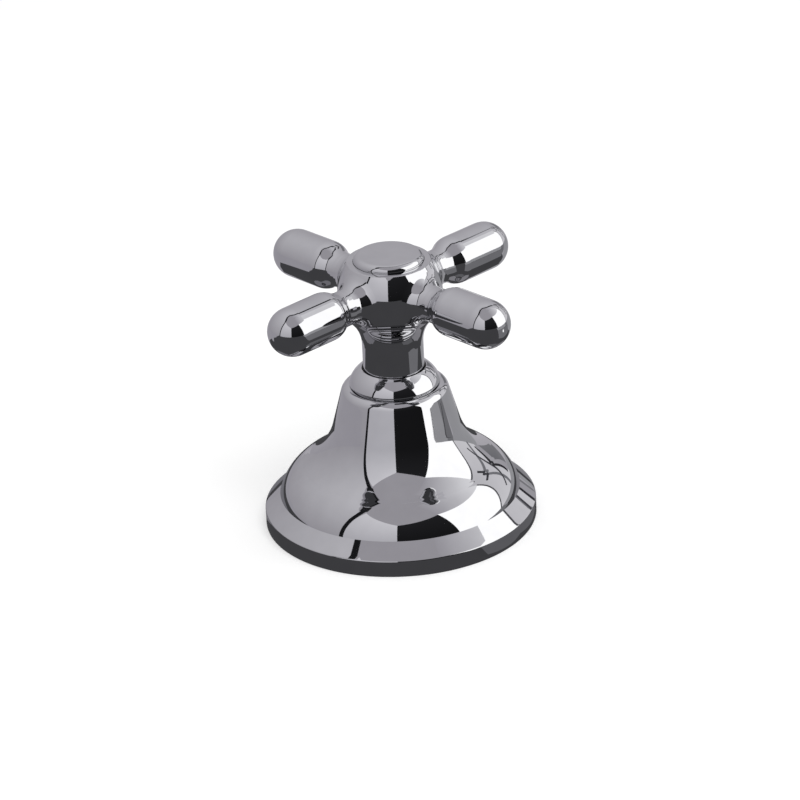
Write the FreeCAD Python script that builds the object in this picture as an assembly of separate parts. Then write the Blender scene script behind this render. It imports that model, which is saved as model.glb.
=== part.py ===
import FreeCAD, Part
import math
import os

# Cross-head tap handle that turns in a bell-shaped flange. Millimetres and degrees.
# Origin: centre of the flange's underside. +Z is the turning axis. Arms along +-X and +-Y.

# Clearances
press_gap = 0.02
running_gap = 0.05
play_gap = 0.1
o_ring_gap = 0.03
o_ring_side_gap = 0.18

# Bell flange, outside form
base_radius = 32.0
rim_height = 3.9
rim_edge_round = 0.4
bevel_width = 3.7
bevel_rise = 3.4
dome_round = 12.55
dome_lean = 17.6
flare_round = 16.0
cone_lean = 15.0
cone_gauge_radius = 12.9
cone_gauge_drop = 2.6
bell_height = 34.6
shoulder_round = 2.2

# Bell flange, inside form
rim_width = 3.8
rim_floor_rise = 0.3
shell_wall = 2.2
cone_wall = 3.1
mouth_depth = 3.0
mouth_step = 0.3

# Seal in a groove under the rim
seal_groove_width = 1.8
seal_groove_depth = 1.5
seal_side_gap = 0.1

# Threaded sleeve for the valve body, held in the bell
thread_radius = 11.2
thread_length = 12.0
thread_relief = 0.6
sleeve_wall = 1.2
sleeve_seat_top = 23.5
sleeve_seat_height = 5.5
sleeve_length = 15.5
sleeve_chamfer = 0.6

# Collar ring in the bell's mouth
collar_height = 4.3
collar_spigot_wall = 0.96
collar_spigot_overhang = 0.6
collar_ledge_width = 0.4
collar_overhang = 0.65
collar_groove_height = 0.35
collar_band_height = 0.3
collar_crown_round = 6.7
collar_lip_width = 0.22

# Guide bush, glide washer and thrust washer round the neck
bush_wall = 1.85
bush_top_depth = 2.0
bush_flange_inset = 0.28
bush_flange_height = 0.8
glide_washer_thickness = 0.4
glide_washer_gap = 0.13
thrust_washer_inset = 0.4
thrust_washer_thickness = 0.75

# Retaining ring on the neck's lower end
ring_thickness = 1.0
ring_groove_depth = 0.6
ring_width = 1.5
ring_opening_angle = 36.0
ring_lug_radius = 1.35
ring_lug_hole_radius = 0.55
ring_lug_offset = 0.3

# Spline insert for the valve spindle
insert_length = 13.0
insert_wall = 1.15
insert_flat_depth = 0.5
pilot_radius = 4.05
pilot_length = 3.5
spline_teeth = 20
spline_step = 0.05
spline_depth = 0.3
spline_flat_share = 0.2

# Neck of the cross handle
neck_wall = 1.45
neck_shoulder_width = 0.48
neck_lip_gap = 0.3
neck_tail_length = 1.5
neck_chamfer = 0.4
neck_reach = 6.1

# O-rings on the neck
neck_groove_depth = 0.85
upper_o_ring_drop = 1.6
lower_o_ring_drop = 4.3

# Hub of the cross handle
trumpet_run = 13.1
trumpet_round = 9.3
hub_radius = 12.25
hub_crown_round = 13.5
hub_land_width = 1.45
hub_edge_round = 0.3

# Arms of the cross handle
arm_count = 4
arm_rise = 0.6
arm_root_fillet = 5.0
waist_radius = 4.2
waist_length = 1.01
waist_round = 5.0
swell_run = 5.4
lobe_radius = 5.776
lobe_length = 10.03

# Seat for the index cap, and the web that the screw clamps
cap_seat_depth = 2.05
cap_rim_gap = 0.1
cap_bore_depth = 4.2
web_thickness = 3.4

# Index cap and its O-ring
cap_radius = 8.25
cap_stand = 1.57
cap_edge_round = 1.5
cap_top_wall = 1.75
cap_rim_overhang = 1.05
cap_skirt_gap = 0.1
cap_skirt_wall = 1.7
cap_skirt_length = 2.6
cap_groove_depth = 0.8
cap_o_ring_rise = 1.2

# Handle screw and its spring washer
screw_shank_radius = 2.45
screw_length = 10.0
screw_tip_chamfer = 0.6
screw_hole_gap = 0.25
screw_head_radius = 4.4
screw_head_height = 2.6
screw_head_round = 0.8
cross_slot_length = 5.2
cross_slot_width = 1.1
cross_slot_depth = 1.4
spring_washer_inset = 0.1
spring_washer_gap = 0.2
spring_washer_thickness = 1.2
spring_washer_slit = 0.6
spring_washer_slit_lean = 25.0

# Radii that follow, from the spindle outwards
bore_radius = pilot_radius + insert_wall + running_gap
bore_flat_half_width = bore_radius - insert_flat_depth
spline_root_radius = pilot_radius - spline_step
spline_tip_radius = spline_root_radius - spline_depth
journal_radius = bore_radius + neck_wall
neck_radius = journal_radius + neck_shoulder_width
neck_groove_radius = journal_radius - neck_groove_depth
ring_groove_radius = journal_radius - ring_groove_depth
bush_bore = journal_radius + running_gap
bush_radius = bush_bore + bush_wall
neck_o_ring_section = (bush_bore - neck_groove_radius) / 2 - o_ring_gap
mouth_radius = bush_radius + collar_spigot_wall + 2 * press_gap
bush_flange_radius = mouth_radius - press_gap - bush_flange_inset
thrust_washer_radius = bush_flange_radius - thrust_washer_inset
collar_lip_bore = neck_radius + neck_lip_gap
collar_ledge_radius = mouth_radius + collar_ledge_width
collar_radius = collar_ledge_radius + collar_overhang
thread_relief_radius = thread_radius + thread_relief
sleeve_radius = thread_relief_radius + sleeve_wall
crease_radius = base_radius - bevel_width
seal_middle_radius = base_radius - rim_width / 2
cap_bore_radius = cap_radius - cap_rim_overhang
cap_recess_radius = cap_radius + cap_rim_gap
cap_skirt_radius = cap_bore_radius - cap_skirt_gap
cap_groove_radius = cap_skirt_radius - cap_groove_depth
cap_o_ring_section = (cap_bore_radius - cap_groove_radius) / 2 - o_ring_gap
hub_land_radius = cap_recess_radius + hub_land_width
hub_crown_middle = hub_radius - hub_crown_round
screw_hole_radius = screw_shank_radius + screw_hole_gap
spring_washer_hole_radius = screw_shank_radius + spring_washer_gap
spring_washer_radius = screw_head_radius - spring_washer_inset

# Heights that follow, in the flange
crease_height = rim_height + bevel_rise
cone_gauge_height = bell_height - cone_gauge_drop
mouth_bottom = bell_height - mouth_depth
collar_top = bell_height + collar_height
bush_top = collar_top - bush_top_depth
bush_flange_top = mouth_bottom - collar_spigot_overhang
bush_bottom = bush_flange_top - bush_flange_height
sleeve_seat_bottom = sleeve_seat_top - sleeve_seat_height
upper_o_ring_height = bush_top - upper_o_ring_drop
lower_o_ring_height = bush_top - lower_o_ring_drop

# Heights that follow, on the handle
neck_shoulder = bush_top + glide_washer_thickness + play_gap
thrust_washer_top = bush_bottom - play_gap
ring_top = thrust_washer_top - thrust_washer_thickness
ring_bottom = ring_top - ring_thickness
neck_bottom = ring_bottom - neck_tail_length
trumpet_height = collar_top + neck_reach
hub_height = trumpet_height + trumpet_run
hub_top = hub_height + math.sqrt(hub_crown_round ** 2 - (hub_land_radius - hub_crown_middle) ** 2)
arm_height = hub_height + arm_rise
cap_ledge = hub_top - cap_seat_depth
cap_top = hub_top + cap_stand
web_top = cap_ledge - cap_bore_depth
web_bottom = web_top - web_thickness
insert_bottom = web_bottom - insert_length
screw_head_bottom = web_top + spring_washer_thickness
cap_skirt_bottom = cap_ledge - cap_skirt_length
cap_o_ring_height = cap_skirt_bottom + cap_o_ring_rise

CENTRE = FreeCAD.Vector(0, 0, 0)
UP = FreeCAD.Vector(0, 0, 1)
ALONG_X = FreeCAD.Vector(1, 0, 0)
ALONG_Y = FreeCAD.Vector(0, 1, 0)


def section_point(point):
    """A point of a turned section, given as distance from the axis and height."""
    return FreeCAD.Vector(point[0], 0, point[1])


def lines(*corners):
    """Straight edges from corner to corner."""
    pairs = zip(corners, corners[1:])
    return [Part.LineSegment(section_point(a), section_point(b)).toShape() for a, b in pairs]


def on_circle(centre, radius, angle):
    """A point on a circle, at an angle from the outward direction towards up."""
    turn = math.radians(angle)
    return centre[0] + radius * math.cos(turn), centre[1] + radius * math.sin(turn)


def arc(centre, radius, start, end):
    """A round edge between two angles of a circle."""
    points = [on_circle(centre, radius, angle) for angle in (start, (start + end) / 2, end)]
    return Part.Arc(*[section_point(point) for point in points]).toShape()


def bulged_arc(low, high, radius):
    """A round edge from a low point to a high one, bulging away from the axis."""
    across, rise = high[0] - low[0], high[1] - low[1]
    chord = math.hypot(across, rise)
    depth = math.sqrt(radius ** 2 - (chord / 2) ** 2)
    bulge = (radius - depth) / chord
    crown = ((low[0] + high[0]) / 2 + bulge * rise, (low[1] + high[1]) / 2 - bulge * across)
    return Part.Arc(section_point(low), section_point(crown), section_point(high)).toShape()


def turned(edges):
    """The solid swept by a closed section round the upright axis."""
    return Part.Face(Part.Wire(edges)).revolve(CENTRE, UP, 360)


def turned_from(*corners):
    """A turned solid whose section has straight edges only."""
    return turned(lines(*corners, corners[0]))


def ring(inner, outer, bottom, top):
    """A turned ring of rectangular section."""
    return turned_from((inner, bottom), (outer, bottom), (outer, top), (inner, top))


def o_ring(middle_radius, section, height):
    """A ring of round section."""
    return Part.makeTorus(middle_radius, section, section_point((0, height)), UP)


def rims(solid, radius, height):
    """The round edges of a solid at one radius and height."""
    near = 1e-4
    found = []
    for edge in solid.Edges:
        if isinstance(edge.Curve, Part.Circle) and abs(edge.Curve.Radius - radius) < near:
            if abs(edge.Curve.Center.z - height) < near:
                found.append(edge)
    return found


def s_curve(inner, outer, run, first_round):
    """Two tangent arcs that lead from one radius to a larger one over a run along the axis.

    Gives the angle at which they meet and the radius of the second arc.
    """
    meeting = 2 * math.atan2(outer - inner, run)
    return math.degrees(meeting), run / math.sin(meeting) - first_round


def cone_radius(height):
    """Outside radius of the bell's cone at a height."""
    return cone_gauge_radius - (height - cone_gauge_height) * math.tan(math.radians(cone_lean))


def dome_centre():
    """Centre of the bell's dome, which starts at the crease and leans in from there."""
    out, up = on_circle((0, 0), dome_round, dome_lean)
    return crease_radius - out, crease_height - up


def flare_centre():
    """Centre of the hollow flare that touches both the dome and the cone."""
    dome = dome_centre()
    start = on_circle((cone_gauge_radius, cone_gauge_height), flare_round, cone_lean)
    down_cone = on_circle((0, 0), 1, cone_lean - 90)
    gap = (start[0] - dome[0], start[1] - dome[1])
    along = gap[0] * down_cone[0] + gap[1] * down_cone[1]
    spare = gap[0] ** 2 + gap[1] ** 2 - (dome_round + flare_round) ** 2
    slide = -along - math.sqrt(along ** 2 - spare)
    return start[0] + slide * down_cone[0], start[1] + slide * down_cone[1]


def bell_outside():
    """Edges of the bell's outside, from the underside up to the mouth."""
    dome = dome_centre()
    flare = flare_centre()
    meeting = math.degrees(math.atan2(flare[1] - dome[1], flare[0] - dome[0]))
    shoulder_height = bell_height - shoulder_round
    touch = shoulder_height + shoulder_round * math.sin(math.radians(cone_lean))
    shoulder_radius = cone_radius(touch) - shoulder_round * math.cos(math.radians(cone_lean))
    rim = lines((base_radius, 0), (base_radius, rim_height), (crease_radius, crease_height))
    dome_arc = arc(dome, dome_round, dome_lean, meeting)
    flare_arc = arc(flare, flare_round, meeting + 180, cone_lean + 180)
    cone = lines(on_circle(flare, flare_round, cone_lean + 180), (cone_radius(touch), touch))
    shoulder = arc((shoulder_radius, shoulder_height), shoulder_round, cone_lean, 90)
    top = lines((shoulder_radius, bell_height), (mouth_radius, bell_height))
    return rim + [dome_arc, flare_arc] + cone + [shoulder] + top


def bell_inside():
    """Edges of the bell's inside, from the mouth down to the rim."""
    dome = dome_centre()
    flare = flare_centre()
    meeting = math.degrees(math.atan2(flare[1] - dome[1], flare[0] - dome[0]))
    hollow_round = flare_round + shell_wall
    hollow_end = 180 + math.degrees(math.asin((flare[1] - sleeve_seat_bottom) / hollow_round))
    hollow_start = on_circle(flare, hollow_round, hollow_end)
    upper = lines(
        (mouth_radius, bell_height),
        (mouth_radius, mouth_bottom),
        (mouth_radius + mouth_step, mouth_bottom),
        (cone_radius(sleeve_seat_top) - cone_wall, sleeve_seat_top),
        (sleeve_radius, sleeve_seat_top),
        (sleeve_radius, sleeve_seat_bottom),
        hollow_start,
    )
    flare_arc = arc(flare, hollow_round, hollow_end, meeting + 180)
    dome_arc = arc(dome, dome_round - shell_wall, meeting, dome_lean)
    rim_inner = base_radius - rim_width
    groove_inner = seal_middle_radius - seal_groove_width / 2
    groove_outer = seal_middle_radius + seal_groove_width / 2
    lower = lines(
        on_circle(dome, dome_round - shell_wall, dome_lean),
        (rim_inner, rim_height + rim_floor_rise),
        (rim_inner, 0),
        (groove_inner, 0),
        (groove_inner, seal_groove_depth),
        (groove_outer, seal_groove_depth),
        (groove_outer, 0),
        (base_radius, 0),
    )
    return upper + [flare_arc, dome_arc] + lower


def bell_flange():
    """Hollow bell: rim, bevel, dome, flare and cone, with a seat for the sleeve inside."""
    bell = turned(bell_outside() + bell_inside())
    return bell.makeFillet(rim_edge_round, rims(bell, base_radius, rim_height))


def deck_seal():
    """Flat rubber ring in the groove under the rim."""
    half_width = seal_groove_width / 2 - seal_side_gap
    return ring(seal_middle_radius - half_width, seal_middle_radius + half_width, 0, seal_groove_depth)


def threaded_sleeve():
    """Tube pressed up into the bell. The valve body screws in from below."""
    bottom = sleeve_seat_top - sleeve_length
    outer = sleeve_radius - press_gap
    thread_bottom = bottom + sleeve_chamfer
    thread_top = thread_bottom + thread_length
    return turned_from(
        (thread_radius + sleeve_chamfer, bottom),
        (outer - sleeve_chamfer, bottom),
        (outer, bottom + sleeve_chamfer),
        (outer, sleeve_seat_top),
        (thread_relief_radius, sleeve_seat_top),
        (thread_relief_radius, thread_top),
        (thread_radius, thread_top),
        (thread_radius, thread_bottom),
    )


def collar_ring():
    """Ring with a crowned bead on the bell and a spigot down into its mouth."""
    inner = bush_radius + press_gap
    spigot = mouth_radius - press_gap
    groove_top = bell_height + collar_groove_height
    band_top = groove_top + collar_band_height
    lip_outer = collar_lip_bore + collar_lip_width
    below = lines(
        (inner, bush_flange_top),
        (spigot, bush_flange_top),
        (spigot, bell_height),
        (collar_ledge_radius, bell_height),
        (collar_ledge_radius, groove_top),
        (collar_radius, groove_top),
        (collar_radius, band_top),
    )
    crown = bulged_arc((collar_radius, band_top), (lip_outer, collar_top), collar_crown_round)
    above = lines(
        (lip_outer, collar_top),
        (collar_lip_bore, collar_top),
        (collar_lip_bore, bush_top),
        (inner, bush_top),
        (inner, bush_flange_top),
    )
    return turned(below + [crown] + above)


def guide_bush():
    """Flanged plain bearing for the neck, pushed up into the collar ring."""
    return turned_from(
        (bush_bore, bush_bottom),
        (bush_flange_radius, bush_bottom),
        (bush_flange_radius, bush_flange_top),
        (bush_radius, bush_flange_top),
        (bush_radius, bush_top),
        (bush_bore, bush_top),
    )


def glide_washer():
    """Thin washer on the bush, under the shoulder of the neck."""
    top = bush_top + glide_washer_thickness
    return ring(bush_bore, collar_lip_bore - glide_washer_gap, bush_top, top)


def thrust_washer():
    """Washer between the bush's flange and the retaining ring."""
    return ring(bush_bore, thrust_washer_radius, ring_top, thrust_washer_top)


def retaining_ring():
    """Open spring ring with two pierced lugs, in a groove near the neck's end."""
    inner = ring_groove_radius + press_gap
    outer = inner + ring_width
    lug_middle = outer + ring_lug_offset
    lug_angle = ring_opening_angle / 2 + math.degrees(math.asin(ring_lug_radius / lug_middle))
    body = Part.makeCylinder(outer, ring_thickness, section_point((0, ring_bottom)))
    lugs = []
    holes = []
    for angle in (lug_angle, -lug_angle):
        turn = math.radians(angle)
        foot = FreeCAD.Vector(lug_middle * math.cos(turn), lug_middle * math.sin(turn), ring_bottom)
        lugs.append(Part.makeCylinder(ring_lug_radius, ring_thickness, foot))
        holes.append(Part.makeCylinder(ring_lug_hole_radius, ring_thickness, foot))
    start = section_point((0, ring_bottom))
    hole = Part.makeCylinder(inner, ring_thickness, start)
    mouth = Part.makeCylinder(outer, ring_thickness, start, UP, ring_opening_angle)
    mouth.rotate(CENTRE, UP, -ring_opening_angle / 2)
    return body.cut(mouth).multiFuse(lugs).cut(Part.makeCompound(holes + [hole])).removeSplitter()


def handle_blank():
    """Neck and round-topped hub of the cross handle, turned, before arms, land and bore."""
    meeting, belly_round = s_curve(neck_radius, hub_radius, trumpet_run, trumpet_round)
    trumpet_centre = (neck_radius + trumpet_round, trumpet_height)
    belly_centre = (hub_radius - belly_round, hub_height)
    stem = lines(
        (0, neck_bottom),
        (journal_radius - neck_chamfer, neck_bottom),
        (journal_radius, neck_bottom + neck_chamfer),
        (journal_radius, neck_shoulder),
        (neck_radius, neck_shoulder),
        (neck_radius, trumpet_height),
    )
    trumpet = arc(trumpet_centre, trumpet_round, 180, 180 - meeting)
    belly = arc(belly_centre, belly_round, -meeting, 0)
    pole = math.degrees(math.acos(-hub_crown_middle / hub_crown_round))
    crown = arc((hub_crown_middle, hub_height), hub_crown_round, 0, pole)
    axis = lines(on_circle((hub_crown_middle, hub_height), hub_crown_round, pole), (0, neck_bottom))
    blank = turned(stem + [trumpet, belly, crown] + axis)
    blank.rotate(CENTRE, UP, 180 / arm_count)
    return blank


def above_land():
    """What is cut off the crown for the flat land round the cap, with a rounded outer edge."""
    edge_height = hub_top - hub_edge_round
    edge_rise = edge_height - hub_height
    edge_reach = math.sqrt((hub_crown_round - hub_edge_round) ** 2 - edge_rise ** 2)
    edge_radius = hub_crown_middle + edge_reach
    touch = math.degrees(math.atan2(edge_rise, edge_reach))
    touch_radius, touch_height = on_circle((hub_crown_middle, hub_height), hub_crown_round, touch)
    roof = hub_height + 2 * hub_radius
    land = lines((0, roof), (0, hub_top), (edge_radius, hub_top))
    edge = arc((edge_radius, edge_height), hub_edge_round, 90, touch)
    outer = lines(
        (touch_radius, touch_height), (2 * hub_radius, touch_height), (2 * hub_radius, roof), (0, roof)
    )
    return turned(land + [edge] + outer)


def root_reach():
    """How far out from the turning axis the round root of an arm goes, on any side of the arm."""
    belly_round = s_curve(neck_radius, hub_radius, trumpet_run, trumpet_round)[1]
    out = waist_radius + arm_root_fillet
    beside = math.sqrt((hub_radius + arm_root_fillet) ** 2 - out ** 2)
    below = math.sqrt((belly_round + arm_root_fillet) ** 2 - (out - arm_rise) ** 2)
    above = math.sqrt((hub_crown_round + arm_root_fillet) ** 2 - (out + arm_rise) ** 2)
    return max(beside, below + hub_radius - belly_round, above + hub_crown_middle)


def handle_arm():
    """One arm: waist, swelling, straight lobe and ball end, along +X."""
    waist_end = root_reach() + waist_length
    lobe_start = waist_end + swell_run
    lobe_end = lobe_start + lobe_length
    meeting, swell_round = s_curve(waist_radius, lobe_radius, lobe_start - waist_end, waist_round)
    waist_centre = (waist_radius + waist_round, waist_end)
    swell_centre = (lobe_radius - swell_round, lobe_start)
    edges = lines((0, 0), (waist_radius, 0), (waist_radius, waist_end))
    edges.append(arc(waist_centre, waist_round, 180, 180 - meeting))
    edges.append(arc(swell_centre, swell_round, -meeting, 0))
    edges += lines((lobe_radius, lobe_start), (lobe_radius, lobe_end))
    edges.append(arc((0, lobe_end), lobe_radius, 0, 90))
    edges += lines((0, lobe_end + lobe_radius), (0, 0))
    arm = turned(edges)
    arm.rotate(CENTRE, ALONG_Y, 90)
    arm.translate(section_point((0, arm_height)))
    return arm


def arm_root_edges(handle):
    """The curved edges where the waists of the arms run into the hub."""
    near = 1e-3
    found = []
    for edge in handle.Edges:
        middle = edge.valueAt((edge.FirstParameter + edge.LastParameter) / 2)
        out = max(abs(middle.x), abs(middle.y))
        side = min(abs(middle.x), abs(middle.y))
        from_arm_axis = math.hypot(side, middle.z - arm_height)
        if abs(from_arm_axis - waist_radius) < near and out < hub_radius:
            found.append(edge)
    return found


def handle_hollow():
    """What is cut from the handle: bore with two flats, screw hole and cap seat."""
    bore = Part.makeCylinder(bore_radius, web_bottom - neck_bottom, section_point((0, neck_bottom)))
    flat_length = insert_length + play_gap
    flat_bottom = web_bottom - flat_length
    for side in (1, -1):
        flat = Part.makeBox(2 * bore_radius, bore_radius, flat_length)
        low = bore_flat_half_width if side > 0 else -bore_flat_half_width - bore_radius
        flat.translate(FreeCAD.Vector(-bore_radius, low, flat_bottom))
        bore = bore.cut(flat)
    screw_hole = Part.makeCylinder(screw_hole_radius, web_thickness, section_point((0, web_bottom)))
    seat = turned_from(
        (0, web_top),
        (cap_bore_radius, web_top),
        (cap_bore_radius, cap_ledge),
        (cap_recess_radius, cap_ledge),
        (cap_recess_radius, hub_top),
        (0, hub_top),
    )
    return bore.multiFuse([screw_hole, seat])


def neck_grooves():
    """Grooves round the neck for the two O-rings and the retaining ring."""
    half = neck_o_ring_section + o_ring_side_gap
    outside = neck_radius
    grooves = [ring(ring_groove_radius, outside, ring_bottom, ring_top)]
    for height in (upper_o_ring_height, lower_o_ring_height):
        grooves.append(ring(neck_groove_radius, outside, height - half, height + half))
    return Part.makeCompound(grooves)


def cross_handle():
    """The casting that the hand turns: neck, ball-shaped hub and arms, in one piece."""
    arms = []
    for index in range(arm_count):
        arm = handle_arm()
        arm.rotate(CENTRE, UP, index * 360 / arm_count)
        arms.append(arm)
    handle = handle_blank().multiFuse(arms).removeSplitter()
    handle = handle.makeFillet(arm_root_fillet, arm_root_edges(handle))
    return handle.cut(above_land()).cut(handle_hollow()).cut(neck_grooves())


def neck_o_ring(height):
    """O-ring in a groove of the neck, sliding in the guide bush."""
    return o_ring((neck_groove_radius + bush_bore) / 2, neck_o_ring_section, height)


def index_cap():
    """Domed-edge cap over the screw, with a skirt that carries an O-ring."""
    flat_radius = cap_radius - cap_edge_round
    skirt_inner = cap_skirt_radius - cap_skirt_wall
    half = cap_o_ring_section + o_ring_side_gap
    top = lines((0, cap_top - cap_top_wall), (0, cap_top), (flat_radius, cap_top))
    edge = arc((flat_radius, cap_top - cap_edge_round), cap_edge_round, 90, 0)
    below = lines(
        (cap_radius, cap_top - cap_edge_round),
        (cap_radius, cap_ledge),
        (cap_skirt_radius, cap_ledge),
        (cap_skirt_radius, cap_o_ring_height + half),
        (cap_groove_radius, cap_o_ring_height + half),
        (cap_groove_radius, cap_o_ring_height - half),
        (cap_skirt_radius, cap_o_ring_height - half),
        (cap_skirt_radius, cap_skirt_bottom),
        (skirt_inner, cap_skirt_bottom),
        (skirt_inner, cap_top - cap_top_wall),
        (0, cap_top - cap_top_wall),
    )
    return turned(top + [edge] + below)


def cap_o_ring():
    """O-ring that holds the index cap in the hub."""
    return o_ring((cap_bore_radius + cap_groove_radius) / 2, cap_o_ring_section, cap_o_ring_height)


def spline_insert():
    """Moulded adaptor in the handle's bore: plain pilot below, splined socket above."""
    radius = bore_radius - running_gap
    half_width = bore_flat_half_width - running_gap
    body = Part.makeCylinder(radius, insert_length, section_point((0, insert_bottom)))
    keep = Part.makeBox(2 * radius, 2 * half_width, insert_length)
    keep.translate(FreeCAD.Vector(-radius, -half_width, insert_bottom))
    pilot = Part.makeCylinder(pilot_radius, pilot_length, section_point((0, insert_bottom)))
    spline_bottom = insert_bottom + pilot_length
    corners = []
    pitch = 360 / spline_teeth
    for tooth in range(spline_teeth):
        for radius, share in (
            (spline_root_radius, -spline_flat_share),
            (spline_root_radius, spline_flat_share),
            (spline_tip_radius, 0.5 - spline_flat_share),
            (spline_tip_radius, 0.5 + spline_flat_share),
        ):
            x, y = on_circle((0, 0), radius, (tooth + share) * pitch)
            corners.append(FreeCAD.Vector(x, y, spline_bottom))
    outline = Part.makePolygon(corners + corners[:1])
    spline = Part.Face(outline).extrude(UP * (insert_length - pilot_length))
    return body.common(keep).cut(pilot.fuse(spline))


def handle_screw():
    """Pan-head screw that clamps the handle on the spindle."""
    tip = screw_head_bottom - screw_length
    head_top = screw_head_bottom + screw_head_height
    round_start = head_top - screw_head_round
    lower = lines(
        (0, head_top),
        (0, tip),
        (screw_shank_radius - screw_tip_chamfer, tip),
        (screw_shank_radius, tip + screw_tip_chamfer),
        (screw_shank_radius, screw_head_bottom),
        (screw_head_radius, screw_head_bottom),
        (screw_head_radius, round_start),
    )
    head_edge = arc((screw_head_radius - screw_head_round, round_start), screw_head_round, 0, 90)
    top = lines((screw_head_radius - screw_head_round, head_top), (0, head_top))
    screw = turned(lower + [head_edge] + top)
    for length, width in (
        (cross_slot_length, cross_slot_width),
        (cross_slot_width, cross_slot_length),
    ):
        slot = Part.makeBox(length, width, cross_slot_depth)
        slot.translate(FreeCAD.Vector(-length / 2, -width / 2, head_top - cross_slot_depth))
        screw = screw.cut(slot)
    return screw


def spring_washer():
    """Split washer under the screw head."""
    washer = ring(spring_washer_hole_radius, spring_washer_radius, web_top, screw_head_bottom)
    reach = 2 * spring_washer_thickness
    slit = Part.makeBox(spring_washer_radius, spring_washer_slit, 2 * reach)
    slit.translate(FreeCAD.Vector(0, -spring_washer_slit / 2, -reach))
    slit.rotate(CENTRE, ALONG_X, spring_washer_slit_lean)
    slit.translate(section_point((0, web_top + spring_washer_thickness / 2)))
    return washer.cut(slit)


def main():
    nodes = {
        "bell_flange": bell_flange(),
        "deck_seal": deck_seal(),
        "threaded_sleeve": threaded_sleeve(),
        "collar_ring": collar_ring(),
        "guide_bush": guide_bush(),
        "glide_washer": glide_washer(),
        "cross_handle": cross_handle(),
        "neck_o_ring_upper": neck_o_ring(upper_o_ring_height),
        "neck_o_ring_lower": neck_o_ring(lower_o_ring_height),
        "thrust_washer": thrust_washer(),
        "retaining_ring": retaining_ring(),
        "spline_insert": spline_insert(),
        "spring_washer": spring_washer(),
        "handle_screw": handle_screw(),
        "index_cap": index_cap(),
        "cap_o_ring": cap_o_ring(),
    }
    os.makedirs("parts", exist_ok=True)
    for name, shape in nodes.items():
        shape.exportStep("parts/" + name + ".step")


main()
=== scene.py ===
import math

import bmesh
import bpy
from mathutils import Matrix, Vector


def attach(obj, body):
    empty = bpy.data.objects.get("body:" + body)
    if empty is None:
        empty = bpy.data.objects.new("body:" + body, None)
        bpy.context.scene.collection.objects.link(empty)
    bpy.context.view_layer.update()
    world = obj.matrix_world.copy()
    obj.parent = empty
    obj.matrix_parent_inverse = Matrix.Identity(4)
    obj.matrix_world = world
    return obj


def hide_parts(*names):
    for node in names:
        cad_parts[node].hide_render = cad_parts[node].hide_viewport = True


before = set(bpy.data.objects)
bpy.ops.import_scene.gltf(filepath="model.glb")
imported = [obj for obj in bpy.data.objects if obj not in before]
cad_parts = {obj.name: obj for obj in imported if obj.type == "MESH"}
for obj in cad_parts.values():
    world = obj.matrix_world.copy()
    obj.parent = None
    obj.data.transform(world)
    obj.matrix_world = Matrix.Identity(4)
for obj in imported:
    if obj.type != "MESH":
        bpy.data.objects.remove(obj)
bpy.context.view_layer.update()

# Deck seal: a flat ring of black nitrile rubber, moulded, pressed into the groove under the rim.
# It takes the finish that the O-rings further up share.


def linear(hex_code):
    """A colour written as sRGB hex, turned to the linear values that a shader takes."""
    parts = [int(hex_code[i:i + 2], 16) / 255 for i in (1, 3, 5)]
    return [c / 12.92 if c <= 0.04045 else ((c + 0.055) / 1.055) ** 2.4 for c in parts] + [1.0]


def add_node(tree, kind, links=None, sockets=None, **settings):
    """Adds one node to a material, with its settings, socket values and links."""
    made = tree.nodes.new(kind)
    for name, value in settings.items():
        setattr(made, name, value)
    for name, value in (sockets or {}).items():
        made.inputs[name].default_value = value
    for name, source in (links or {}).items():
        tree.links.new(source, made.inputs[name])
    return made


def finish_of(name):
    """An empty material with its node tree."""
    made = bpy.data.materials.new(name)
    made.use_nodes = True
    made.node_tree.nodes.clear()
    return made, made.node_tree


def dress(node_name, material):
    """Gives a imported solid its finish."""
    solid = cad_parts[node_name]
    solid.data.materials.clear()
    solid.data.materials.append(material)


# Moulded nitrile rubber: matt black, a little grey where talc and bloom sit, with a fine grain.
grain_size, bloom_size = 0.0002, 0.006
rubber, tree = finish_of("moulded_nitrile_rubber")
place = add_node(tree, "ShaderNodeTexCoord").outputs["Object"]
grain = add_node(tree, "ShaderNodeTexNoise", {"Vector": place}, {"Scale": 1 / grain_size, "Detail": 3.0})
bloom = add_node(tree, "ShaderNodeTexNoise", {"Vector": place}, {"Scale": 1 / bloom_size, "Detail": 5.0})
shade = add_node(tree, "ShaderNodeValToRGB", {"Fac": bloom.outputs["Fac"]})
shade.color_ramp.elements[0].position = 0.35
shade.color_ramp.elements[0].color = linear("#1B1B1C")
shade.color_ramp.elements[1].position = 0.75
shade.color_ramp.elements[1].color = linear("#2E2E2F")
dull = add_node(
    tree, "ShaderNodeMapRange", {"Value": bloom.outputs["Fac"]}, {"To Min": 0.55, "To Max": 0.8})
relief = add_node(
    tree, "ShaderNodeBump", {"Height": grain.outputs["Fac"]}, {"Strength": 0.3, "Distance": 0.00003})
surface = add_node(tree, "ShaderNodeBsdfPrincipled", {
    "Base Color": shade.outputs["Color"],
    "Roughness": dull.outputs["Result"],
    "Normal": relief.outputs["Normal"],
}, {"IOR": 1.52})
add_node(tree, "ShaderNodeOutputMaterial", {"Surface": surface.outputs["BSDF"]})
dress("deck_seal", rubber)

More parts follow.
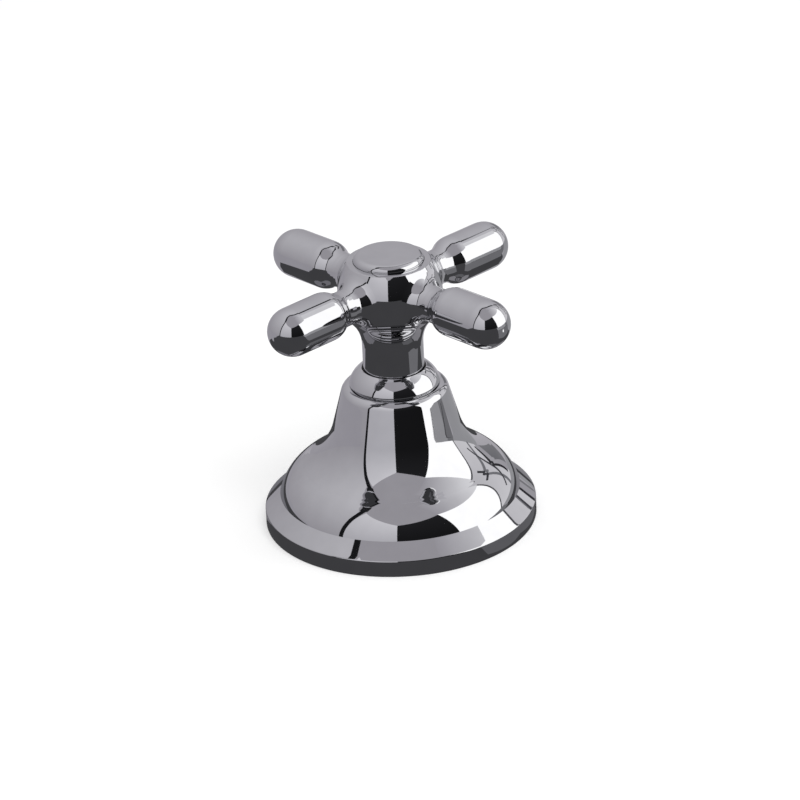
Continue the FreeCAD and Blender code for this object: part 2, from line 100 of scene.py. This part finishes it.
# Threaded sleeve: turned from brass bar and pressed up into the bell, where it screws on the valve.
# Left bare, so it keeps the tool's fine rings and a slight brown tarnish.
ring_step, ring_run, tarnish_size = 0.00025, 1 / 60, 0.005
brass, tree = finish_of("turned_brass")
place = add_node(tree, "ShaderNodeTexCoord").outputs["Object"]
squash = add_node(
    tree, "ShaderNodeMapping", {"Vector": place}, {"Scale": (1 / ring_run, 1 / ring_run, 1 / ring_step)})
rings = add_node(
    tree, "ShaderNodeTexNoise", {"Vector": squash.outputs["Vector"]}, {"Scale": 1.0, "Detail": 2.0})
tarnish = add_node(
    tree, "ShaderNodeTexNoise", {"Vector": place}, {"Scale": 1 / tarnish_size, "Detail": 6.0})
shade = add_node(tree, "ShaderNodeValToRGB", {"Fac": tarnish.outputs["Fac"]})
shade.color_ramp.elements[0].position = 0.3
shade.color_ramp.elements[0].color = linear("#A88545")
shade.color_ramp.elements[1].position = 0.7
shade.color_ramp.elements[1].color = linear("#CFB06A")
dull = add_node(
    tree, "ShaderNodeMapRange", {"Value": rings.outputs["Fac"]}, {"To Min": 0.18, "To Max": 0.42})
relief = add_node(
    tree, "ShaderNodeBump", {"Height": rings.outputs["Fac"]}, {"Strength": 0.4, "Distance": 0.00002})
surface = add_node(tree, "ShaderNodeBsdfPrincipled", {
    "Base Color": shade.outputs["Color"],
    "Roughness": dull.outputs["Result"],
    "Normal": relief.outputs["Normal"],
}, {"Metallic": 1.0})
add_node(tree, "ShaderNodeOutputMaterial", {"Surface": surface.outputs["BSDF"]})
dress("threaded_sleeve", brass)

# Bell flange: cast or spun brass, turned and polished all over, then chrome plated bright.
# It stands on its rim and holds the sleeve inside and the collar ring in its mouth.


def bow(centre, radius, start, end, steps):
    """Points along a round edge of a section, between two angles in degrees."""
    points = []
    for step in range(steps + 1):
        angle = math.radians(start + (end - start) * step / steps)
        points.append((centre[0] + radius * math.cos(angle), centre[1] + radius * math.sin(angle)))
    return points


def line_up(start, end, steps):
    """Points along a straight edge of a section, without its first."""
    return [
        (start[0] + (end[0] - start[0]) * step / steps, start[1] + (end[1] - start[1]) * step / steps)
        for step in range(1, steps + 1)
    ]


def turned_piece(name, section, around, crisp=28):
    """A chromed piece turned round the upright axis from a closed section in millimetres.

    Edges that turn by more than a number of degrees stay crisp.
    """
    form = bmesh.new()
    rounds = []
    for turn in range(around):
        angle = 2 * math.pi * turn / around
        rounds.append([
            form.verts.new((r / 1000 * math.cos(angle), r / 1000 * math.sin(angle), z / 1000))
            for r, z in section
        ])
    for here, there in zip(rounds, rounds[1:] + rounds[:1]):
        for step in range(len(section)):
            form.faces.new((here[step - 1], there[step - 1], there[step], here[step]))
    bmesh.ops.remove_doubles(form, verts=form.verts, dist=0.0000005)
    bmesh.ops.recalc_face_normals(form, faces=form.faces)
    for face in form.faces:
        face.smooth = True
    mesh = bpy.data.meshes.new(name)
    form.to_mesh(mesh)
    form.free()
    mesh.set_sharp_from_angle(angle=math.radians(crisp))
    mesh.materials.append(chrome)
    made = bpy.data.objects.new(name, mesh)
    bpy.context.scene.collection.objects.link(made)
    return made


# Polished chrome plate: a clear mirror with polishing haze in patches, hair marks too fine to tell
# apart, and a surface that swells by a few thousandths of a millimetre, which bends what it mirrors.
haze_size, hair_size, swell_size, swell_height = 0.004, 0.0003, 0.007, 0.000003
chrome, tree = finish_of("polished_chrome_plate")
place = add_node(tree, "ShaderNodeTexCoord").outputs["Object"]
haze = add_node(tree, "ShaderNodeTexNoise", {"Vector": place}, {"Scale": 1 / haze_size, "Detail": 4.0})
hair = add_node(tree, "ShaderNodeTexNoise", {"Vector": place}, {"Scale": 1 / hair_size, "Detail": 2.0})
swell = add_node(tree, "ShaderNodeTexNoise", {"Vector": place}, {"Scale": 1 / swell_size, "Detail": 0.0})
shade = add_node(tree, "ShaderNodeValToRGB", {"Fac": haze.outputs["Fac"]})
shade.color_ramp.elements[0].position = 0.3
shade.color_ramp.elements[0].color = linear("#D7D7D9")
shade.color_ramp.elements[1].position = 0.7
shade.color_ramp.elements[1].color = linear("#DCDCDE")
patch = add_node(
    tree, "ShaderNodeMapRange", {"Value": haze.outputs["Fac"]}, {"To Min": 0.015, "To Max": 0.04})
marks = add_node(
    tree, "ShaderNodeMapRange", {"Value": hair.outputs["Fac"]}, {"From Min": 0.55, "To Max": 0.03})
dull = add_node(
    tree, "ShaderNodeMath", {0: patch.outputs["Result"], 1: marks.outputs["Result"]}, operation="ADD")
relief = add_node(
    tree, "ShaderNodeBump", {"Height": swell.outputs["Fac"]}, {"Strength": 1.0, "Distance": swell_height})
surface = add_node(tree, "ShaderNodeBsdfPrincipled", {
    "Base Color": shade.outputs["Color"],
    "Roughness": dull.outputs["Value"],
    "Normal": relief.outputs["Normal"],
}, {"Metallic": 1.0})
add_node(tree, "ShaderNodeOutputMaterial", {"Surface": surface.outputs["BSDF"]})

rim_radius, rim_top, rim_round, foot_round = 31.995, 3.9, 0.4, 0.15
crease = (28.3, 7.3)
bevel_width, bevel_rise = 3.7, 3.4
dome_round, dome_lean = 12.55, 17.6
flare_round, flare_centre, cone_lean = 16.0, (30.4605, 28.3495), 15.0
bell_top, shoulder_round, shoulder_reach = 34.6, 2.2, 10.5147
mouth_radius, mouth_edge, mouth_foot = 9.6, 0.15, 31.6
funnel_top, funnel_foot = 9.9, 12.077
sleeve_seat, seat_top, seat_foot = 13.0, 23.5, 18.0
shell_wall = 2.2
hollow_radius, hollow_foot, hollow_edge = 28.2, 4.2, 0.1
groove_inside, groove_outside, groove_depth = 29.2, 31.0, 1.5

bevel_turn = math.degrees(math.atan2(bevel_width, bevel_rise))
rim_drop = rim_round * math.tan(math.radians((90 - bevel_turn) / 2))
dome_centre = (
    crease[0] - dome_round * math.cos(math.radians(dome_lean)),
    crease[1] - dome_round * math.sin(math.radians(dome_lean)),
)
meeting = math.degrees(math.atan2(flare_centre[1] - dome_centre[1], flare_centre[0] - dome_centre[0]))
shoulder = (shoulder_reach, bell_top - shoulder_round)
cone_end = bow(flare_centre, flare_round, cone_lean + 180, cone_lean + 180, 1)[0]
shoulder_start = bow(shoulder, shoulder_round, cone_lean, cone_lean, 1)[0]
hollow_round = flare_round + shell_wall
hollow_end = 180 + math.degrees(math.asin((flare_centre[1] - seat_foot) / hollow_round))

section = bow((rim_radius - foot_round, foot_round), foot_round, -90, 0, 4)
section += bow((rim_radius - rim_round, rim_top - rim_drop), rim_round, 0, bevel_turn, 8)
section += line_up(section[-1], crease, 6)
section += bow(dome_centre, dome_round, dome_lean, meeting, 44)
section += bow(flare_centre, flare_round, meeting + 180, cone_lean + 180, 40)[1:]
section += line_up(cone_end, shoulder_start, 10)[:-1]
section += bow(shoulder, shoulder_round, cone_lean, 90, 14)
section += [(mouth_radius + mouth_edge, bell_top), (mouth_radius, bell_top - mouth_edge)]
section += [(mouth_radius, mouth_foot), (funnel_top, mouth_foot)]
section += [(funnel_foot, seat_top), (sleeve_seat, seat_top), (sleeve_seat, seat_foot)]
section += bow(flare_centre, hollow_round, hollow_end, meeting + 180, 20)
section += bow(dome_centre, dome_round - shell_wall, meeting, dome_lean, 20)
section += [(hollow_radius, hollow_foot), (hollow_radius, hollow_edge), (hollow_radius + hollow_edge, 0.0)]
section += [(groove_inside, 0.0), (groove_inside, groove_depth)]
section += [(groove_outside, groove_depth), (groove_outside, 0.0)]
bell = turned_piece("bell_shell", section, 288)
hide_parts("bell_flange")
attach(bell, "flange")

# Collar ring: turned brass, chrome plated, with a rounded bead that covers the bell's mouth.
# Its spigot is pressed into the mouth, with a fine dark groove left under the bead.
bead_foot, bead_lip, bead_round, bead_edge = (10.65, 35.25), (7.7, 38.9), 6.7, 0.1
bead_bottom, bead_shelf, lip_edge = 34.95, 10.0, 0.1
spigot, spigot_middle, spigot_foot, spigot_edge, spigot_top = 9.58, 9.0, 31.0, 0.18, 34.6
neck_hole, neck_hole_foot, neck_hole_edge, bush_seat = 7.48, 36.9, 0.12, 8.62

chord = math.dist(bead_foot, bead_lip)
depth = math.sqrt(bead_round ** 2 - (chord / 2) ** 2)
bead_centre = (
    (bead_lip[0] + bead_foot[0]) / 2 - depth * (bead_lip[1] - bead_foot[1]) / chord,
    (bead_lip[1] + bead_foot[1]) / 2 + depth * (bead_lip[0] - bead_foot[0]) / chord,
)
bead_start, bead_end = [
    math.degrees(math.atan2(z - bead_centre[1], r - bead_centre[0])) for r, z in (bead_foot, bead_lip)
]
section = [(spigot_middle, spigot_foot), (spigot - spigot_edge, spigot_foot)]
section += [(spigot, spigot_foot + spigot_edge), (spigot, spigot_top), (bead_shelf, spigot_top)]
section += [(bead_shelf, bead_bottom), (bead_foot[0] - bead_edge, bead_bottom)]
section += bow((bead_foot[0] - bead_edge, bead_bottom + bead_edge), bead_edge, -90, 0, 3)[1:]
section += bow(bead_centre, bead_round, bead_start, bead_end, 26)
section += [(bead_lip[0] - lip_edge, bead_lip[1]), (neck_hole, bead_lip[1] - neck_hole_edge)]
section += [(neck_hole, neck_hole_foot), (bush_seat, neck_hole_foot), (bush_seat, spigot_foot)]
collar = turned_piece("collar_bead", section, 240)
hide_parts("collar_ring")
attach(collar, "flange")

# Guide bush, glide washer and spline insert: moulded acetal, the first two in the collar ring round
# the neck, the insert pushed up the neck's bore, where it grips the valve spindle.
# Moulded acetal: milky white, waxy, with faint cloudy flow marks and a fine moulded skin.
flow_size, skin_size = 0.003, 0.0002
acetal, tree = finish_of("moulded_acetal")
place = add_node(tree, "ShaderNodeTexCoord").outputs["Object"]
flow = add_node(tree, "ShaderNodeTexNoise", {"Vector": place}, {"Scale": 1 / flow_size, "Detail": 3.0})
skin = add_node(tree, "ShaderNodeTexNoise", {"Vector": place}, {"Scale": 1 / skin_size, "Detail": 2.0})
shade = add_node(tree, "ShaderNodeValToRGB", {"Fac": flow.outputs["Fac"]})
shade.color_ramp.elements[0].position = 0.3
shade.color_ramp.elements[0].color = linear("#DAD8D0")
shade.color_ramp.elements[1].position = 0.7
shade.color_ramp.elements[1].color = linear("#E8E6DF")
dull = add_node(
    tree, "ShaderNodeMapRange", {"Value": flow.outputs["Fac"]}, {"To Min": 0.28, "To Max": 0.42})
relief = add_node(
    tree, "ShaderNodeBump", {"Height": skin.outputs["Fac"]}, {"Strength": 0.15, "Distance": 0.00002})
surface = add_node(tree, "ShaderNodeBsdfPrincipled", {
    "Base Color": shade.outputs["Color"],
    "Roughness": dull.outputs["Result"],
    "Normal": relief.outputs["Normal"],
}, {
    "IOR": 1.48,
    "Subsurface Weight": 0.15,
    "Subsurface Radius": (0.001, 0.001, 0.001),
    "Subsurface Scale": 1.0,
})
add_node(tree, "ShaderNodeOutputMaterial", {"Surface": surface.outputs["BSDF"]})
for node_name in ("guide_bush", "glide_washer", "spline_insert"):
    dress(node_name, acetal)

# Thrust washer, retaining ring, spring washer and handle screw: stainless steel, stamped or turned.
# The washer and ring keep the neck in the bell, the screw and split washer clamp it on the spindle.
# Stamped stainless steel: grey, satin, with a fine rolled grain and lighter rubbed patches.
roll_run, roll_step, rub_size = 0.004, 0.00015, 0.003
steel, tree = finish_of("stamped_stainless_steel")
place = add_node(tree, "ShaderNodeTexCoord").outputs["Object"]
stretch = add_node(
    tree, "ShaderNodeMapping", {"Vector": place}, {"Scale": (1 / roll_run, 1 / roll_step, 1 / roll_step)})
rolled = add_node(
    tree, "ShaderNodeTexNoise", {"Vector": stretch.outputs["Vector"]}, {"Scale": 1.0, "Detail": 2.0})
rubbed = add_node(tree, "ShaderNodeTexNoise", {"Vector": place}, {"Scale": 1 / rub_size, "Detail": 4.0})
shade = add_node(tree, "ShaderNodeValToRGB", {"Fac": rubbed.outputs["Fac"]})
shade.color_ramp.elements[0].position = 0.3
shade.color_ramp.elements[0].color = linear("#A3A4A6")
shade.color_ramp.elements[1].position = 0.7
shade.color_ramp.elements[1].color = linear("#BDBEC0")
dull = add_node(
    tree, "ShaderNodeMapRange", {"Value": rolled.outputs["Fac"]}, {"To Min": 0.22, "To Max": 0.45})
relief = add_node(
    tree, "ShaderNodeBump", {"Height": rolled.outputs["Fac"]}, {"Strength": 0.3, "Distance": 0.00001})
surface = add_node(tree, "ShaderNodeBsdfPrincipled", {
    "Base Color": shade.outputs["Color"],
    "Roughness": dull.outputs["Result"],
    "Normal": relief.outputs["Normal"],
}, {"Metallic": 1.0})
add_node(tree, "ShaderNodeOutputMaterial", {"Surface": surface.outputs["BSDF"]})
for node_name in ("thrust_washer", "retaining_ring", "spring_washer", "handle_screw"):
    dress(node_name, steel)

# O-rings on the neck and on the index cap: moulded nitrile rubber, the finish of the deck seal.
# They sit in turned grooves and are hidden once the handle is put together.
for node_name in ("neck_o_ring_upper", "neck_o_ring_lower", "cap_o_ring"):
    dress(node_name, rubber)

# Cross handle: neck, hub and four arms cast in brass in one piece, with a smooth saddle at every root.
# Polished by hand and plated as the bell is, then slid down through the guide bush.
dress("cross_handle", chrome)

# Index cap: a plain brass button, turned, polished and chrome plated, pushed into the hub's seat.
# It stands 1.6 mm proud of the land, with a well-rounded edge, and its skirt carries an O-ring.
cap_top, cap_flat, cap_radius, cap_round = 67.42, 4.0, 8.25, 1.5
cap_foot, cap_foot_edge = 63.8, 0.1
skirt_outside, skirt_inside, skirt_foot, hollow_roof = 7.1, 5.4, 61.2, 65.67
o_ring_groove, groove_top, groove_foot = 6.3, 63.0, 61.8
section = [(0.0, hollow_roof), (0.0, cap_top), (cap_flat, cap_top)]
section += bow((cap_radius - cap_round, cap_top - cap_round), cap_round, 90, 0, 20)
section += [(cap_radius, cap_foot + cap_foot_edge), (cap_radius - cap_foot_edge, cap_foot)]
section += [(skirt_outside, cap_foot), (skirt_outside, groove_top), (o_ring_groove, groove_top)]
section += [(o_ring_groove, groove_foot), (skirt_outside, groove_foot), (skirt_outside, skirt_foot)]
section += [(skirt_inside, skirt_foot), (skirt_inside, hollow_roof)]
cap = turned_piece("cap_button", section, 200)
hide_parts("index_cap")
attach(cap, "handle")

# Studio round the object: bright and dark cards that only the polished metal sees, as a photographer
# sets them for chrome. Bearings are seen from above, 0 towards the camera and 90 to its right.
# The cards glow more than their colours say, by the share of light that the plate doesn't give back.
view_turn = math.radians(46.68)
studio_middle = Vector((0, 0, 0.03))
plate_return = 0.70
card_strength = 1 / plate_return


def way(bearing, elevation):
    """A direction from the object, by bearing from the camera's side and by elevation, in degrees."""
    turn, lift = math.radians(bearing) + view_turn, math.radians(elevation)
    return Vector((math.cos(lift) * math.sin(turn), -math.cos(lift) * math.cos(turn), math.sin(lift)))


def set_up(name, places, faces, paint, glow):
    """Stands a glowing card in the studio, seen in reflections and nowhere else."""
    paint.cycles.emission_sampling = "NONE"
    add_node(paint.node_tree, "ShaderNodeOutputMaterial", {"Surface": glow.outputs["Emission"]})
    mesh = bpy.data.meshes.new(name)
    mesh.from_pydata(places, [], faces)
    mesh.materials.append(paint)
    made = bpy.data.objects.new(name, mesh)
    bpy.context.scene.collection.objects.link(made)
    made.visible_camera = False
    made.visible_diffuse = False
    made.visible_transmission = False
    made.visible_volume_scatter = False
    made.visible_shadow = False
    return mesh


def card(name, corners, colours, reach):
    """A card bent round the object, its colour running from corner to corner.

    Its corners are bearing and elevation: lower left, lower right, upper right, upper left.
    """
    steps = 24
    tints = [linear(colour) for colour in colours]
    places = []
    shades = []
    for row in range(steps + 1):
        for column in range(steps + 1):
            up, along = row / steps, column / steps
            shares = ((1 - up) * (1 - along), (1 - up) * along, up * along, up * (1 - along))
            bearing, elevation = [sum(s * c[i] for s, c in zip(shares, corners)) for i in (0, 1)]
            places.append(way(bearing, elevation) * reach + studio_middle)
            shades += [sum(s * t[i] for s, t in zip(shares, tints)) for i in range(4)]
    faces = []
    for row in range(steps):
        for column in range(steps):
            first = row * (steps + 1) + column
            faces.append((first, first + 1, first + steps + 2, first + steps + 1))
    paint, tree = finish_of(name)
    shade = add_node(tree, "ShaderNodeVertexColor", layer_name="shade")
    glow = add_node(
        tree, "ShaderNodeEmission", {"Color": shade.outputs["Color"]}, {"Strength": card_strength})
    mesh = set_up(name, places, faces, paint, glow)
    mesh.color_attributes.new("shade", "FLOAT_COLOR", "POINT").data.foreach_set("color", shades)


def plain_card(name, places, colour):
    """A flat card of one colour with straight edges."""
    paint, tree = finish_of(name)
    glow = add_node(
        tree, "ShaderNodeEmission", None, {"Color": linear(colour), "Strength": card_strength})
    set_up(name, places, [list(range(len(places)))], paint, glow)


def ribbon(name, path, width, colour, reach):
    """A narrow dark band across the studio, along places given as bearing and elevation."""
    for index, (start, end) in enumerate(zip(path, path[1:])):
        a, b = way(*start), way(*end)
        side = a.cross(b).normalized() * math.radians(width) / 2
        lap = (b - a) * 0.03
        corners = [a - lap + side, b + lap + side, b + lap - side, a - lap - side]
        places = [corner.normalized() * reach + studio_middle for corner in corners]
        plain_card(f"{name}_{index}", places, colour)


# Walls and ceiling, with the softbox on the right, a dark opening in front and a pale panel on the left.
wall_low, wall_high, roof = "#908E93", "#B1B0B4", "#908E93"
right_low, right_high, panel_low, panel_high = "#C2C1C4", "#A5A4A9", "#A2A1A6", "#C0BFC3"
black_low, black_high, white, door_low, door_high = "#121213", "#1D1D1F", "#FFFFFF", "#707073", "#66666A"
wall = [wall_low, wall_low, wall_high, wall_high]
card("left_wall", [(-57, -2), (-215, -2), (-215, 66), (-57, 66)], wall, 1.7)
slope = [wall_high, wall_high, roof, roof]
card("left_roof", [(-57, 65.8), (-215, 65.8), (-215, 90), (-57, 90)], slope, 1.7)
wall = [right_low, right_low, right_high, right_high]
card("right_wall", [(100, -2), (148, -2), (148, 90), (100, 90)], wall, 1.7)
card("ceiling", [(-58, 36), (100, 36), (100, 90), (-58, 90)], [roof] * 4, 1.75)
card("left_zenith", [(-57, 54), (-105, 75), (-105, 90), (-57, 90)], [roof] * 4, 1.66)
card("rear_zenith", [(-105, 75), (-215, 77), (-215, 90), (-105, 90)], [roof] * 4, 1.66)
slope = [right_high, right_high, roof, roof]
card("right_zenith", [(100, 64), (148, 74), (148, 90), (100, 90)], slope, 1.66)
panel = [panel_low, panel_low, panel_high, panel_high]
card("left_panel", [(-57, -3), (-5, -3), (-5, 40), (-54, 59)], panel, 1.6)
opening = [black_low, black_low, black_high, black_high]
card("front_opening", [(-5, -3), (54, -3), (46, 49), (-5, 40)], opening, 1.6)
card("softbox", [(53, -3), (103.6, -3), (124, 43), (45.5, 49.5)], [white] * 4, 1.65)
halo = ["#939197", "#D6D6D8", right_high, roof]
card("softbox_glow", [(45, 48), (124, 42), (124, 74), (45, 78)], halo, 1.68)
door = [door_low, door_low, door_high, door_high]
card("rear_door", [(151, -2), (167, -2), (167, 17), (151, 17)], door, 1.5)

# Seams between the walls and the ceiling, the softbox's frame and a lamp stand close to the object.
ribbon("left_seam", [(-57, -4), (-57, 15), (-57, 32), (-58, 50), (-61, 60)], 4.0, "#161618", 1.0)
ribbon("high_seam", [(-61, 60), (-68, 66), (-80, 70), (-105, 74)], 6.0, "#1C1C1E", 1.0)
path = [(-105, 74), (-145, 77), (180, 78), (150, 72), (145, 60), (142, 50)]
ribbon("rear_seam", path, 5.0, "#2C2C2F", 1.0)
ribbon("right_seam", [(142, 50), (139, 38), (137, 28), (135, 14), (134, -6)], 3.0, "#6C6C70", 1.0)
path = [(103.8, -3), (109.4, 10), (114.7, 22), (119.6, 33), (124, 43)]
ribbon("softbox_frame", path, 1.8, "#4A4A4D", 1.6)
ribbon("stand_post", [(148, 40), (146, 20), (143, 2)], 2.6, "#2E2E31", 0.95)
ribbon("stand_arm", [(147, 37), (138, 31), (128, 33)], 2.4, "#39393D", 0.95)
ribbon("stand_leg", [(145, 22), (136, 14), (127, 6)], 2.2, "#3F3F43", 0.95)


def table_card(name, places, layer, colour):
    """A card lying on the table, its places given as bearing and distance from the turning axis."""
    drop = Vector((0, 0, -0.0001 * layer))
    plain_card(name, [way(bearing, 0) * reach + drop for bearing, reach in places], colour)


# Table under the object: pale close behind it, dark round that, and painted lighter on the right where the
# softbox's light falls, with a painted glow by the rim.
left_pale = [(-82, 0.036), (-84, 0.05), (-98, 0.058), (-112, 0.061), (-128, 0.058), (-142, 0.052)]
table_card("left_pale", left_pale + [(-142, 0.033)], 1, "#66656A")
right_pale = [(92, 0.036), (94, 0.052), (110, 0.062), (128, 0.06), (146, 0.052), (146, 0.033)]
table_card("right_pale", right_pale + [(118, 0.033)], 1, "#77767A")
near_lit = [(51, 0.3), (53, 0.16), (60, 0.083), (84, 0.08), (104, 0.1), (106, 0.3)]
table_card("near_lit_table", near_lit, 1, "#67676A")
table_card("far_lit_table", [(48, 1.55), (51, 0.3), (93, 0.3), (93, 1.55)], 1, "#8A8A8D")
table_card("side_lit_table", [(93, 1.55), (93, 0.3), (106, 0.3), (106, 1.55)], 1, "#6A6A6D")
rim_glow = [(40, 0.0335), (42, 0.045), (62, 0.05), (86, 0.05), (90, 0.0335), (64, 0.0335)]
table_card("rim_glow", rim_glow, 1, "#57575A")
dark = [(-64, 2.6), (-66.7, 0.71), (-71.6, 0.474), (-73, 0.316), (-87, 0.2), (-104, 0.135)]
dark += [(-117, 0.112), (-134, 0.088), (-148, 0.084), (-162, 0.092), (180, 0.09), (160, 0.072)]
dark += [(121, 0.1), (106, 0.13), (100, 2.6), (0, 2.6)]
table_card("dark_table", dark, 2, "#3B3B3D")
right_sweep = [(100, 2.2), (104, 0.4), (110, 0.12), (128, 0.08), (150, 0.06), (150, 2.2)]
table_card("right_sweep", right_sweep, 3, "#8A8A8D")
left_sweep = [(-60, 2.6), (-60, 0.3), (-120, 0.05), (-160, 0.05), (-160, 2.6)]
table_card("left_sweep", left_sweep, 4, "#8E8C92")
table_card("rear_sweep", [(bearing, 4.2) for bearing in (-1.68, 88.32, 178.32, 268.32)], 6, "#9D9BA0")

# Floor and background: white card to the camera, keeping the object's soft shadow.
# The card lies just under the seal, and the metal sees the studio's table in its place.
floor_half, floor_level = 4, -0.00001
paint, tree = finish_of("white_floor_card")
ray = add_node(tree, "ShaderNodeLightPath")
diffuse = add_node(tree, "ShaderNodeBsdfDiffuse", None, {"Color": linear("#F2F2F2")})
glow = add_node(
    tree, "ShaderNodeEmission", {"Strength": ray.outputs["Is Camera Ray"]}, {"Color": linear("#7A7A7A")})
both = add_node(tree, "ShaderNodeAddShader", {0: diffuse.outputs["BSDF"], 1: glow.outputs["Emission"]})
add_node(tree, "ShaderNodeOutputMaterial", {"Surface": both.outputs["Shader"]})
mesh = bpy.data.meshes.new("floor")
corners = [(x * floor_half, y * floor_half, floor_level) for x, y in ((-1, -1), (1, -1), (1, 1), (-1, 1))]
mesh.from_pydata(corners, [], [(0, 1, 2, 3)])
mesh.materials.append(paint)
floor = bpy.data.objects.new("floor", mesh)
bpy.context.scene.collection.objects.link(floor)
floor.visible_glossy = False

world = bpy.data.worlds.new("studio")
bpy.context.scene.world = world
world.use_nodes = True
tree = world.node_tree
tree.nodes.clear()
ray = add_node(tree, "ShaderNodeLightPath").outputs
seen = add_node(
    tree, "ShaderNodeMath", {0: ray["Is Camera Ray"], 1: ray["Is Glossy Ray"]}, operation="MAXIMUM")
seen = add_node(
    tree, "ShaderNodeMath", {0: seen.outputs["Value"], 1: ray["Is Transmission Ray"]},
    operation="MAXIMUM")
level = add_node(
    tree, "ShaderNodeMapRange", {"Value": seen.outputs["Value"]}, {"To Min": 0.6, "To Max": 1.0})
sky = add_node(
    tree, "ShaderNodeBackground", {"Strength": level.outputs["Result"]}, {"Color": (1, 1, 1, 1)})
add_node(tree, "ShaderNodeOutputWorld", {"Surface": sky.outputs["Background"]})

lamp_data = bpy.data.lights.new("soft_lamp", "AREA")
lamp_data.energy = 12
lamp_data.size = 1.2
lamp = bpy.data.objects.new("soft_lamp", lamp_data)
bpy.context.scene.collection.objects.link(lamp)
lamp.location = (0.5, -0.2, 1.4)
lamp.rotation_euler = Vector(lamp.location).to_track_quat("Z", "Y").to_euler()
lamp.visible_glossy = False
lamp.visible_camera = False

# Camera, at the photograph's place: 26 degrees above the deck, between two arms, leaning 3 degrees.
# It stands about a metre away, behind a long lens, and looks at the bell's cone.
camera_lift, roll, camera_distance = 25.729, math.radians(-2.907), 1.06348
target = Vector((0.000703, 0.000745, 0.02983))
right = Vector((math.cos(view_turn), math.sin(view_turn), 0))
back = way(0, camera_lift)
up = back.cross(right)
across = math.cos(roll) * right + math.sin(roll) * up
upward = math.cos(roll) * up - math.sin(roll) * right
camera_data = bpy.data.cameras.new("camera")
camera_data.lens = 204.516
camera_data.sensor_width = 36
camera = bpy.data.objects.new("camera", camera_data)
bpy.context.scene.collection.objects.link(camera)
camera.matrix_world = Matrix((across, upward, back)).transposed().to_4x4()
camera.location = target + camera_distance * back
bpy.context.scene.camera = camera
bpy.context.scene.view_settings.view_transform = "Standard"
